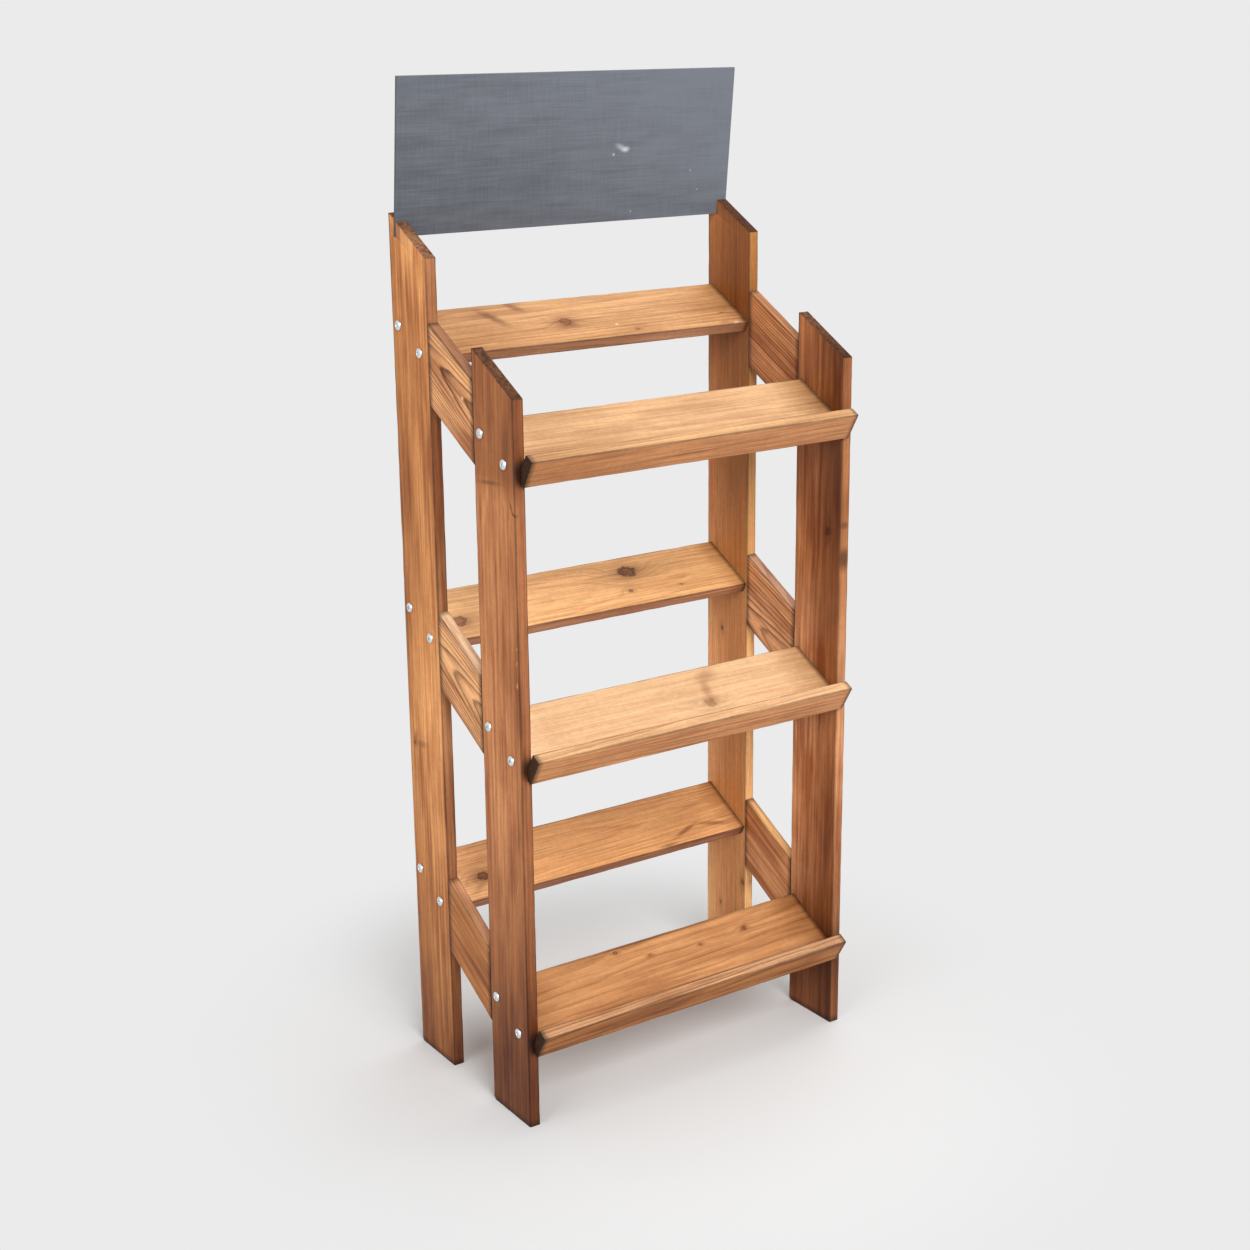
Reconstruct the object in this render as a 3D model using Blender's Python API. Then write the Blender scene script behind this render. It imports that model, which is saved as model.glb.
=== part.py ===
"""Three-shelf display stand with a lift-out chalkboard.

Metres, +Z up. The front faces -Y, and left is -X, as seen by someone facing the stand.
The origin is on the floor, under the middle of the stand's bounding box. The pieces are
laid out from the middle of the side frames, and one empty shifts them all by half of what
the lips stand out in front.

Two flat side frames, each of two uprights and three sloping rails, are joined by six
sloping slats, which are screwed through the uprights. A lip stands along each front slat.
The shelves, the rails and the uprights' tops are all cut to one slope.
"""

from math import atan, cos, pi, radians, sin, tan

import bmesh
import bpy
from mathutils import Vector

# Timber
TIMBER_WIDTH = 0.069
TIMBER_THICKNESS = 0.012
ARRIS = 0.0010
JOINT_GAP = 0.0003

# Side frames
STAND_WIDTH = 0.400
FRAME_DEPTH = 0.218
SLOPE = radians(30.0)
LOWEST_SHELF_HEIGHT = 0.150
SHELF_PITCH = 0.285
SHELF_NAMES = ("lower", "middle", "upper")
REAR_TOP_RISE = 0.100
FRONT_TOP_RISE = 0.070
FOOT_CLIP = 0.004

# Lips along the front slats
LIP_HEIGHT = 0.030
LIP_RISE = 0.017
LIP_END_INSET = 0.0077
LIP_NOTCH_CLEARANCE = 0.0010

# Chalkboard and its slots
CHALKBOARD_HEIGHT = 0.150
CHALKBOARD_THICKNESS = 0.004
SLOT_PLAY = 0.0022
SLOT_BACK_WALL = 0.008
SLOT_DEPTH = 0.023

# Pan-head screws
SCREW_LENGTH = 0.040
SCREW_DIAMETER = 0.005
SCREW_TIP = 0.005
SCREW_FRONT_MARGIN = 0.0165
SCREW_REAR_MARGIN = 0.0125
HEAD_DIAMETER = 0.010
HEAD_RIM = 0.0008
HEAD_DOME = 0.0018
RECESS_SPAN = 0.0046
RECESS_ARM = 0.0011
RECESS_DEPTH = 0.0017
HOLE_END_CLEARANCE = 0.002

# Joining biscuits between rails and uprights
BISCUIT_LENGTH = 0.047
BISCUIT_WIDTH = 0.015
BISCUIT_THICKNESS = 0.004

# How far a cutter runs past the surface that it cuts
OVERRUN = 0.002

# Facets of the round pieces
SCREW_SIDES = 16
DOME_STEPS = 3
BISCUIT_ARC_STEPS = 6
SMOOTH_ANGLE = radians(40.0)

# Width of the recess's floor, as a share of its mouth
RECESS_FLOOR_SHARE = 0.6

# Sine of the angle within which an edge counts as running with the grain
PARALLEL_LIMIT = 0.001

# Worked out from the sizes above
SHELF_UP = Vector((0, -sin(SLOPE), cos(SLOPE)))
SHELF_BACK = Vector((0, cos(SLOPE), sin(SLOPE)))
REAR_FACE = FRAME_DEPTH / 2
REAR_UPRIGHT_FRONT = REAR_FACE - TIMBER_WIDTH
FRONT_FACE = -REAR_FACE
FRONT_UPRIGHT_BACK = FRONT_FACE + TIMBER_WIDTH
FRAME_X = (STAND_WIDTH - TIMBER_THICKNESS) / 2
INNER_HALF_WIDTH = STAND_WIDTH / 2 - TIMBER_THICKNESS
SLAT_WIDTH = (TIMBER_WIDTH - TIMBER_THICKNESS * sin(SLOPE)) / cos(SLOPE)
SLAT_HALF_LENGTH = INNER_HALF_WIDTH - JOINT_GAP
LIP_HALF_LENGTH = STAND_WIDTH / 2 - LIP_END_INSET
SHELF_HEIGHTS = [LOWEST_SHELF_HEIGHT + SHELF_PITCH * i for i in range(len(SHELF_NAMES))]
SLOT_WIDTH = CHALKBOARD_THICKNESS + SLOT_PLAY
SIDES = {"left": -1, "right": 1}


def centre_line(shelf_height, y):
    """Height of a shelf's sloping centre line at depth y."""
    return shelf_height + y * tan(SLOPE)


REAR_TOP = centre_line(SHELF_HEIGHTS[-1], REAR_FACE) + REAR_TOP_RISE
FRONT_TOP = centre_line(SHELF_HEIGHTS[-1], FRONT_UPRIGHT_BACK) + FRONT_TOP_RISE
SLOT_BACK = REAR_FACE - SLOT_BACK_WALL
SLOT_FRONT = SLOT_BACK - SLOT_WIDTH
SLOT_FLOOR = REAR_TOP - SLOT_DEPTH

# The lips are the only pieces that stand out past the uprights in Y, as far as the lower
# edge of the chamfer on their front arris
LIP_FRONT_REACH = (TIMBER_THICKNESS + JOINT_GAP) * cos(SLOPE) + (LIP_RISE - ARRIS) * sin(SLOPE)
ORIGIN_SHIFT = LIP_FRONT_REACH / 2


def clear_scene():
    for obj in list(bpy.data.objects):
        bpy.data.objects.remove(obj, do_unlink=True)


def make_material(name, colour, roughness, metallic=0.0):
    material = bpy.data.materials.new(name)
    material.use_nodes = True
    shader = material.node_tree.nodes["Principled BSDF"]
    shader.inputs["Base Color"].default_value = (*colour, 1.0)
    shader.inputs["Roughness"].default_value = roughness
    shader.inputs["Metallic"].default_value = metallic
    return material


def add_object(name, mesh, material=None):
    obj = bpy.data.objects.new(name, mesh)
    bpy.context.collection.objects.link(obj)
    obj.parent = stand
    if material and not mesh.materials:
        mesh.materials.append(material)
    return obj


def mesh_from(name, bm):
    bmesh.ops.recalc_face_normals(bm, faces=bm.faces)
    mesh = bpy.data.meshes.new(name)
    bm.to_mesh(mesh)
    bm.free()
    return mesh


def prism(outline, low, high):
    """A bmesh with the (y, z) outline drawn out along X from low to high."""
    bm = bmesh.new()
    face = bm.faces.new([bm.verts.new((low, y, z)) for y, z in outline])
    drawn = bmesh.ops.extrude_face_region(bm, geom=[face])
    ends = [item for item in drawn["geom"] if isinstance(item, bmesh.types.BMVert)]
    bmesh.ops.translate(bm, verts=ends, vec=(high - low, 0, 0))
    return bm


def ease_arrises(bm, along):
    """Takes a small chamfer off every edge that runs with the grain."""
    grain = along.normalized()
    edges = []
    for edge in bm.edges:
        run = (edge.verts[1].co - edge.verts[0].co).normalized()
        if run.cross(grain).length < PARALLEL_LIMIT:
            edges.append(edge)
    bmesh.ops.bevel(bm, geom=edges, offset=ARRIS, segments=1, affect="EDGES")


def rectangle(width, height):
    return [
        (-width / 2, -height / 2),
        (width / 2, -height / 2),
        (width / 2, height / 2),
        (-width / 2, height / 2),
    ]


def cutter(name, mesh):
    obj = add_object(name, mesh)
    obj.hide_render = True
    obj.display_type = "WIRE"
    return obj


def cut(target, tool):
    boolean = target.modifiers.new(tool.name, "BOOLEAN")
    boolean.operation = "DIFFERENCE"
    boolean.solver = "EXACT"
    boolean.object = tool


def make_upright(name, side, front, top, wood):
    """An upright with its front edge at depth front and its sloping cut starting at height top."""
    middle = front + TIMBER_WIDTH / 2
    half = TIMBER_WIDTH / 2
    outline = [
        (-half, 0),
        (half - FOOT_CLIP, 0),
        (half, FOOT_CLIP),
        (half, top),
        (-half, top - TIMBER_WIDTH * tan(SLOPE)),
    ]
    bm = prism(outline, -TIMBER_THICKNESS / 2, TIMBER_THICKNESS / 2)
    ease_arrises(bm, Vector((0, 0, 1)))
    upright = add_object(name, mesh_from(name, bm), wood)
    upright.location = (side * FRAME_X, middle, 0)
    return upright


def make_rail(name, side, shelf_height, wood):
    """A sloping rail whose plumb-cut ends butt against the two uprights."""
    half_run = (REAR_UPRIGHT_FRONT - FRONT_UPRIGHT_BACK) / 2 - JOINT_GAP
    half_rise = half_run * tan(SLOPE)
    half_height = TIMBER_WIDTH / cos(SLOPE) / 2
    outline = [
        (-half_run, -half_rise - half_height),
        (half_run, half_rise - half_height),
        (half_run, half_rise + half_height),
        (-half_run, -half_rise + half_height),
    ]
    bm = prism(outline, -TIMBER_THICKNESS / 2, TIMBER_THICKNESS / 2)
    ease_arrises(bm, SHELF_BACK)
    rail = add_object(name, mesh_from(name, bm), wood)
    middle = (REAR_UPRIGHT_FRONT + FRONT_UPRIGHT_BACK) / 2
    rail.location = (side * FRAME_X, middle, centre_line(shelf_height, middle))
    return rail


def shelf_point(shelf_height, front, back, up):
    """A point of a shelf, back along its slope from the slat's front edge and up from its middle.

    front is the depth of the upright's front edge. The slat's upper front arris is flush with
    that edge, and its lower back arris with the upright's rear edge.
    """
    arris = Vector((0, front, centre_line(shelf_height, front)))
    arris.z += TIMBER_THICKNESS / 2 / cos(SLOPE)
    return arris + SHELF_BACK * back + SHELF_UP * (up - TIMBER_THICKNESS / 2)


def make_slat(name, shelf_height, front, wood):
    bm = prism(rectangle(SLAT_WIDTH, TIMBER_THICKNESS), -SLAT_HALF_LENGTH, SLAT_HALF_LENGTH)
    ease_arrises(bm, Vector((1, 0, 0)))
    slat = add_object(name, mesh_from(name, bm), wood)
    slat.location = shelf_point(shelf_height, front, SLAT_WIDTH / 2, 0)
    slat.rotation_euler = (SLOPE, 0, 0)
    return slat


def lip_centre(shelf_height):
    back = -JOINT_GAP - TIMBER_THICKNESS / 2
    up = TIMBER_THICKNESS / 2 + LIP_RISE - LIP_HEIGHT / 2
    return shelf_point(shelf_height, FRONT_FACE, back, up)


def make_lip(name, shelf_height, wood):
    bm = prism(rectangle(TIMBER_THICKNESS, LIP_HEIGHT), -LIP_HALF_LENGTH, LIP_HALF_LENGTH)
    ease_arrises(bm, Vector((1, 0, 0)))
    lip = add_object(name, mesh_from(name, bm), wood)
    lip.location = lip_centre(shelf_height)
    lip.rotation_euler = (SLOPE, 0, 0)
    return lip


def lip_notch_cutter(name, side, shelf_height):
    """The angled housing in a front upright that takes the lower back corner of a lip's end."""
    outer = LIP_HALF_LENGTH + LIP_NOTCH_CLEARANCE
    inner = INNER_HALF_WIDTH - OVERRUN
    section = rectangle(TIMBER_THICKNESS + 2 * JOINT_GAP, LIP_HEIGHT + 2 * JOINT_GAP)
    bm = prism(section, min(side * inner, side * outer), max(side * inner, side * outer))
    tool = cutter(name, mesh_from(name, bm))
    tool.location = lip_centre(shelf_height)
    tool.rotation_euler = (SLOPE, 0, 0)
    return tool


def biscuit_outline(length, width):
    """A lens of two circular arcs, its length along z."""
    rise = width / 2
    radius = (length**2 / 4 + rise**2) / (2 * rise)
    half_angle = atan(length / 2 / (radius - rise))
    points = []
    for turn in (0, pi):
        for step in range(BISCUIT_ARC_STEPS):
            angle = half_angle * (2 * step / BISCUIT_ARC_STEPS - 1) + turn
            points.append((radius * cos(angle) - (radius - rise) * cos(turn), radius * sin(angle)))
    return points


def biscuit_prism(clearance):
    outline = biscuit_outline(BISCUIT_LENGTH + 2 * clearance, BISCUIT_WIDTH + 2 * clearance)
    half = BISCUIT_THICKNESS / 2 + clearance
    return prism(outline, -half, half)


def turned(profile, sides):
    """A closed bmesh from (distance along X, radius) points, the first and last on the axis."""
    bm = bmesh.new()
    rings = []
    for along, radius in profile[1:-1]:
        angles = [2 * pi * i / sides for i in range(sides)]
        rings.append([bm.verts.new((along, radius * cos(a), radius * sin(a))) for a in angles])
    first = bm.verts.new((profile[0][0], 0, 0))
    last = bm.verts.new((profile[-1][0], 0, 0))
    for i in range(sides):
        j = (i + 1) % sides
        bm.faces.new((first, rings[0][i], rings[0][j]))
        bm.faces.new((last, rings[-1][j], rings[-1][i]))
        for near, far in zip(rings, rings[1:]):
            bm.faces.new((near[i], far[i], far[j], near[j]))
    return bm


def recess_cutter():
    """A cross that narrows towards its floor, sunk in the top of the screw's head."""
    arm, reach = RECESS_ARM / 2, RECESS_SPAN / 2
    quarter = [(arm, arm), (arm, reach), (-arm, reach)]
    cross = []
    for turn in range(4):
        c, s = cos(turn * pi / 2), sin(turn * pi / 2)
        cross += [(c * y - s * z, s * y + c * z) for y, z in quarter]
    top = HEAD_RIM + HEAD_DOME
    bm = prism(cross, top - RECESS_DEPTH, top + OVERRUN)
    for vert in bm.verts:
        if vert.co.x < top:
            vert.co.y *= RECESS_FLOOR_SHARE
            vert.co.z *= RECESS_FLOOR_SHARE
    return cutter("recess_cutter", mesh_from("recess_cutter", bm))


def screw_mesh(zinc):
    """A screw with its head's underside at X = 0, its head at +X and its shank along -X."""
    head = HEAD_DIAMETER / 2
    shank = SCREW_DIAMETER / 2
    dome = [
        (HEAD_RIM + HEAD_DOME * sin(angle), head * cos(angle))
        for angle in [pi / 2 * step / DOME_STEPS for step in range(DOME_STEPS - 1, -1, -1)]
    ]
    profile = [
        (HEAD_RIM + HEAD_DOME, 0),
        *dome,
        (0, head),
        (0, shank),
        (SCREW_TIP - SCREW_LENGTH, shank),
        (-SCREW_LENGTH, 0),
    ]
    blank = add_object("screw_blank", mesh_from("screw_blank", turned(profile, SCREW_SIDES)), zinc)
    blank.hide_render = True
    tool = recess_cutter()
    cut(blank, tool)
    graph = bpy.context.evaluated_depsgraph_get()
    mesh = bpy.data.meshes.new_from_object(blank.evaluated_get(graph), depsgraph=graph)
    mesh.name = "screw"
    mesh.shade_smooth()
    mesh.set_sharp_from_angle(angle=SMOOTH_ANGLE)
    for helper in (blank, tool):
        bpy.data.objects.remove(helper, do_unlink=True)
    return mesh


def screw_hole_cutter(name):
    """One straight hole through the upright and into the slat's end, with clearance all round."""
    radius = SCREW_DIAMETER / 2 + JOINT_GAP
    profile = [
        (OVERRUN, 0),
        (OVERRUN, radius),
        (-SCREW_LENGTH - HOLE_END_CLEARANCE, radius),
        (-SCREW_LENGTH - HOLE_END_CLEARANCE, 0),
    ]
    return cutter(name, mesh_from(name, turned(profile, SCREW_SIDES)))


def add_screws(slat, slat_name, shelf_height, front, uprights, mesh):
    """Two screws at each end of a slat, driven through the uprights into its end grain."""
    depths = (front + SCREW_FRONT_MARGIN, front + TIMBER_WIDTH - SCREW_REAR_MARGIN)
    for side_name, side in SIDES.items():
        for row, y in zip(("front", "rear"), depths):
            name = f"{slat_name}_{side_name}_{row}_screw"
            seat = (side * (STAND_WIDTH / 2 + JOINT_GAP), y, centre_line(shelf_height, y))
            turn = 0 if side > 0 else pi
            screw = add_object(name, mesh)
            screw.location = seat
            screw.rotation_euler = (0, 0, turn)
            hole = screw_hole_cutter(f"{name}_hole")
            hole.location = seat
            hole.rotation_euler = (0, 0, turn)
            cut(uprights[side_name], hole)
            cut(slat, hole)


def add_biscuit(name, side, y, shelf_height, pieces, beech):
    """A biscuit set upright across the joint at depth y, and its pocket in both pieces."""
    place = (side * FRAME_X, y, centre_line(shelf_height, y))
    biscuit = add_object(name, mesh_from(name, biscuit_prism(0)), beech)
    biscuit.location = place
    pocket_name = f"{name}_pocket"
    pocket = cutter(pocket_name, mesh_from(pocket_name, biscuit_prism(JOINT_GAP)))
    pocket.location = place
    for piece in pieces:
        cut(piece, pocket)


def chalkboard_slot_cutter(name, side):
    inner, outer = INNER_HALF_WIDTH - OVERRUN, STAND_WIDTH / 2 + OVERRUN
    outline = [
        (SLOT_FRONT, SLOT_FLOOR),
        (SLOT_BACK, SLOT_FLOOR),
        (SLOT_BACK, REAR_TOP + OVERRUN),
        (SLOT_FRONT, REAR_TOP + OVERRUN),
    ]
    bm = prism(outline, min(side * inner, side * outer), max(side * inner, side * outer))
    return cutter(name, mesh_from(name, bm))


def chalkboard_lean():
    """How far the loose board tips forward in its slots, from plumb."""
    wall_top = REAR_TOP - (REAR_FACE - SLOT_FRONT) * tan(SLOPE)
    return atan((SLOT_PLAY - 2 * JOINT_GAP) / (wall_top - SLOT_FLOOR - JOINT_GAP))


def make_chalkboard(paint):
    """The board stands on the slots' floors, its back foot against their rear walls."""
    lean = chalkboard_lean()
    outline = [
        (-CHALKBOARD_THICKNESS, 0),
        (0, 0),
        (0, CHALKBOARD_HEIGHT),
        (-CHALKBOARD_THICKNESS, CHALKBOARD_HEIGHT),
    ]
    lift = bpy.data.objects.new("chalkboard_lift", None)
    bpy.context.collection.objects.link(lift)
    lift.parent = stand
    lift.location = (
        0,
        SLOT_BACK - JOINT_GAP,
        SLOT_FLOOR + JOINT_GAP + CHALKBOARD_THICKNESS * sin(lean),
    )
    bm = prism(outline, -STAND_WIDTH / 2, STAND_WIDTH / 2)
    board = add_object("chalkboard", mesh_from("chalkboard", bm), paint)
    board.parent = lift
    board.rotation_euler = (lean, 0, 0)
    return board


clear_scene()
stand = bpy.data.objects.new("stand", None)
bpy.context.collection.objects.link(stand)
stand.location = (0, ORIGIN_SHIFT, 0)

stained_pine = make_material("stained_pine", (0.33, 0.125, 0.036), 0.55)
beech = make_material("beech", (0.60, 0.42, 0.25), 0.7)
bright_zinc = make_material("bright_zinc", (0.72, 0.76, 0.80), 0.3, 1.0)
chalk_paint = make_material("chalk_paint", (0.125, 0.135, 0.15), 0.85)

screw = screw_mesh(bright_zinc)
rear_uprights = {}
front_uprights = {}
for side_name, side in SIDES.items():
    rear = make_upright(
        f"{side_name}_rear_upright", side, REAR_UPRIGHT_FRONT, REAR_TOP, stained_pine
    )
    front = make_upright(f"{side_name}_front_upright", side, FRONT_FACE, FRONT_TOP, stained_pine)
    cut(rear, chalkboard_slot_cutter(f"{side_name}_chalkboard_slot", side))
    rear_uprights[side_name] = rear
    front_uprights[side_name] = front
    for shelf_name, height in zip(SHELF_NAMES, SHELF_HEIGHTS):
        rail_name = f"{side_name}_{shelf_name}_rail"
        rail = make_rail(rail_name, side, height, stained_pine)
        for end, y, upright in (
            ("rear", REAR_UPRIGHT_FRONT, rear),
            ("front", FRONT_UPRIGHT_BACK, front),
        ):
            add_biscuit(f"{rail_name}_{end}_biscuit", side, y, height, (rail, upright), beech)
        cut(front, lip_notch_cutter(f"{side_name}_{shelf_name}_lip_notch", side, height))

for shelf_name, height in zip(SHELF_NAMES, SHELF_HEIGHTS):
    for row, front_edge, uprights in (
        ("rear", REAR_UPRIGHT_FRONT, rear_uprights),
        ("front", FRONT_FACE, front_uprights),
    ):
        slat_name = f"{shelf_name}_{row}_slat"
        slat = make_slat(slat_name, height, front_edge, stained_pine)
        add_screws(slat, slat_name, height, front_edge, uprights, screw)
    make_lip(f"{shelf_name}_lip", height, stained_pine)

make_chalkboard(chalk_paint)
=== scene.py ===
from itertools import product
from math import cos, pi, radians, sin

import bmesh
import bpy
from mathutils import Euler, Matrix, Vector, noise


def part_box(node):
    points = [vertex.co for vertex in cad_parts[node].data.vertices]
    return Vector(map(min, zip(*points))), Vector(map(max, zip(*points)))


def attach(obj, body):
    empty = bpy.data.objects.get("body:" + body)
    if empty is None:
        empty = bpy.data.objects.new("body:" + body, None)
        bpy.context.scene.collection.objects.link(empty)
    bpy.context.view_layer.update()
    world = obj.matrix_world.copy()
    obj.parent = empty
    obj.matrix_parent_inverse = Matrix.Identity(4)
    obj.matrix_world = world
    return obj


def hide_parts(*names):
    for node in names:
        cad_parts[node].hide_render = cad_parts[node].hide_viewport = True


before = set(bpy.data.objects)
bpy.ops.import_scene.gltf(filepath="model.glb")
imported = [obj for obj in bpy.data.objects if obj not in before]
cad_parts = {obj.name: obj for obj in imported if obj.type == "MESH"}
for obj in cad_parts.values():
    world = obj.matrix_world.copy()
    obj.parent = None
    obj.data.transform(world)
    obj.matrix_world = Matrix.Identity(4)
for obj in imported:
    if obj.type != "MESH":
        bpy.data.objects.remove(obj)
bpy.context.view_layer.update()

# Lengths are metres in the CAD frame; a board's own figure is laid out in millimetres.
MM = 0.001

SLOPE = radians(30.0)
BOARD_WIDTH = 0.069
BOARD_THICKNESS = 0.012
SLAT_WIDTH = 0.07275
LIP_HEIGHT = 0.030
LIP_HOUSING_CLEARANCE = 0.0003
LIP_END_CLEARANCE = 0.0010
FOOT_CLIP = 0.004
SLOT_WIDTH = 0.0062
SLOT_CLEARANCE = 0.0003
# The cutters run out of the wood: up from a slot's floor, and across the side frames.
SLOT_CUT_HEIGHT = 0.1
CUT_LENGTH = 0.020
CHALKBOARD_HEIGHT = 0.150
CHALKBOARD_THICKNESS = 0.004
CHALKBOARD_EDGE_RADIUS = 0.0005
CHALKBOARD_LEAN = radians(6.05)

ARRIS_RADIUS = 0.0014
SAWN_EDGE_RADIUS = 0.0004
LOOP_SPACING = 0.010
ARRIS_WEAR = 0.00035
DENTS_PER_METRE = 55

TIERS = ("lower", "middle", "upper")
ROWS = ("front", "rear")
SIDES = {"left": -1, "right": 1}

X_AXIS = Vector((1, 0, 0))
Y_AXIS = Vector((0, 1, 0))
Z_AXIS = Vector((0, 0, 1))
SHELF_BACK = Vector((0, cos(SLOPE), sin(SLOPE)))
SHELF_UP = Vector((0, -sin(SLOPE), cos(SLOPE)))


def linear(hex_colour):
    """Linear RGBA of an sRGB hex colour."""
    channels = []
    for start in (1, 3, 5):
        value = int(hex_colour[start:start + 2], 16) / 255
        channels.append(value / 12.92 if value <= 0.04045 else ((value + 0.055) / 1.055) ** 2.4)
    return (*channels, 1.0)


def add_node(tree, kind, settings=None, links=None):
    """Adds a shader node: settings are its properties and input values, links its sources.

    A node given as a source stands for its first output.
    """
    node = tree.nodes.new(f"ShaderNode{kind}")
    for key, value in (settings or {}).items():
        if isinstance(key, int) or key in node.inputs:
            node.inputs[key].default_value = value
        else:
            setattr(node, key, value)
    for key, source in (links or {}).items():
        tree.links.new(getattr(source, "outputs", [source])[0], node.inputs[key])
    return node


def new_material(name):
    material = bpy.data.materials.new(name)
    material.use_nodes = True
    return material, material.node_tree, material.node_tree.nodes["Principled BSDF"]


def set_stops(ramp_node, stops):
    ramp = ramp_node.color_ramp
    while len(ramp.elements) < len(stops):
        ramp.elements.new(0.5)
    for element, (position, colour) in zip(ramp.elements, stops):
        element.position = position
        element.color = colour


def axes_matrix(along, across, outward):
    return Matrix((along, across, outward)).transposed()


def new_piece(name, bm, centre=(0, 0, 0), axes=Matrix.Identity(3)):
    """An object of a bmesh, which is put in its place and then freed."""
    bmesh.ops.transform(bm, matrix=Matrix.Translation(centre) @ axes.to_4x4(), verts=bm.verts)
    mesh = bpy.data.meshes.new(name)
    bm.to_mesh(mesh)
    bm.free()
    piece = bpy.data.objects.new(name, mesh)
    bpy.context.scene.collection.objects.link(piece)
    return piece


# How each board is cut from the log and stained, in its own millimetres: x runs with the
# grain from its middle, y across its width and z through its thickness. heart is where the
# middle of the tree lies in the end of the board, ring the growth of a year, taper how fast
# the rings run out along the board, wander how far they wave and tremble how far each line
# trembles. early and late are the colours of spring and summer wood, contrast how far a line
# goes from the first to the second, faintest the share of that in the weakest year, and veins
# and fibres the strength of the finer lines. uneven is how patchy the stain is, along and
# across how light the board is at points of its length and width, edge the tone of its narrow
# edges, edge_lines how much its lines show there, and ends the palest colour of its end grain.
# A knot is (x, y, radius, strength), and a stain, in stain_tint, or a scuff is (x, y, half
# length, half width, angle in degrees, strength). An edge stain or painted lip shadow, a dark
# mark on the front edge, is (x, half length, strength).
# seed picks the board's own stretch of noise.
# along, across and edge hold painted shade and light as well as stain, and on the lips and some
# rails edge holds a painted whitish sheen too.
SLAT_LOOKS = {
    "upper_rear": dict(
        heart=(34, -34), ring=4.4, taper=0.020, wander=3, contrast=0.49, uneven=0.45, seed=1.3,
        early="#D09D6C", late="#7F5123", stain_tint="#6E3C1A", edge=(0.639, 0.577, 0.682),
        knots=((-24.3, -4, 5, 0.90), (50.9, -27.4, 1.4, 0.8), (166, -15.5, 1.2, 0.6)),
        stains=((-101, 14, 24, 8, -54, 0.72), (-69, 28, 16, 7, -44, 0.64),
                (-112, 22, 26, 12, 0, 0.34), (-24.3, -4, 17, 13, 0, 0.50),
                (185, -31, 6, 7, 0, 0.60), (160, -31, 9, 3, 10, 0.35)),
        scuffs=((31.3, -15.9, 3, 1.2, 12, 0.8), (173.5, -34, 7, 2.4, 12, 1)),
        along=((-190, 0.82), (-140, 0.85), (-60, 0.92), (120, 1), (160, 0.89), (190, 0.61)),
    ),
    "upper_front": dict(
        heart=(-70, -60), ring=5.2, taper=0.020, wander=3, contrast=0.29, uneven=0.55,
        fibres=0.75, seed=2.1, early="#D1A578", late="#9D6B3C",
        along=((-190, 1), (-150, 0.86), (0, 0.96), (140, 0.98), (190, 0.47)),
    ),
    "middle_rear": dict(
        heart=(-8, -34), ring=3.2, taper=0.026, wander=5, contrast=0.40, uneven=0.45, seed=3.7,
        early="#FFCD93", late="#C66636", edge=(0.575, 0.483, 0.58),
        knots=((58.7, 13.8, 7.6, 1), (46.9, -14.2, 2.2, 0.8), (-163.1, -10.9, 6, 0.8),
               (110.8, -18.8, 1.2, 0.7)),
        stains=((60, 13.8, 22, 10, 0, 0.35),),
        scuffs=((1.7, 26.4, 8, 0.7, 35, 0.7), (-3.3, -1.4, 9, 0.7, 40, 0.7),
                (8, 22, 8, 0.6, 60, 0.6), (-12, 24, 7, 0.6, 60, 0.6)),
        along=((-190, 1), (-120, 0.88), (-20, 0.78), (120, 0.71), (160, 0.76), (190, 0.47)),
    ),
    "middle_front": dict(
        heart=(-46, -64), ring=5, taper=0.022, wander=4, contrast=0.30, uneven=0.25,
        fibres=0.7, seed=4.4, early="#FED8AD", late="#E28D56", stain_tint="#8E4A22",
        knots=((39.9, -12.1, 5.2, 0.5),),
        stains=((46, 6, 15, 8, 75, 0.44), (56, 24, 20, 11, 20, 0.40),
                (44, -8, 12, 8, 0, 0.30)),
        scuffs=((28.1, -9.1, 7, 2.6, 40, 0.7), (22, -14, 5, 0.9, -20, 0.6),
                (34, -15, 6, 1, -50, 0.6)),
        along=((-190, 1), (-150, 0.75), (0, 0.74), (140, 0.78), (190, 0.44)),
    ),
    "lower_rear": dict(
        heart=(6, -26), ring=3.1, taper=0.022, wander=5, contrast=0.46, uneven=0.25, seed=5.9,
        early="#FFC78C", late="#BE5430", stain_tint="#6C381A", edge=(0.521, 0.459, 0.606),
        knots=((-143.9, -8.3, 5.2, 1),),
        stains=((115, -20, 28, 3.8, 19, 0.66), (153, -20, 27, 4.2, -14, 0.58),
                (84, -33, 18, 2.8, 2, 0.60), (140, 10, 34, 4, 8, 0.22),
                (-143.9, -8.3, 20, 10, 0, 0.45), (-152, -20, 22, 5, 30, 0.30)),
        along=((-190, 1), (-100, 0.73), (0, 0.67), (120, 0.68), (160, 0.77), (190, 0.47)),
    ),
    "lower_front": dict(
        heart=(40, -52), ring=4.2, taper=0.026, wander=6, contrast=0.46, uneven=0.60,
        fibres=0.6, seed=6.6, early="#CB9260", late="#7A4C24",
        knots=((-55.7, 29.8, 1.8, 1), (102, 13.3, 2, 1), (41.8, 10, 1.4, 0.9),
               (-20.3, 15.6, 1.2, 0.8)),
        stains=((0, 34, 175, 1.6, 0, 0.7), (102, 14, 10, 4, 30, 0.4)),
        along=((-190, 0.67), (-150, 0.94), (0, 1), (140, 0.93), (190, 0.46)),
    ),
}
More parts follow.
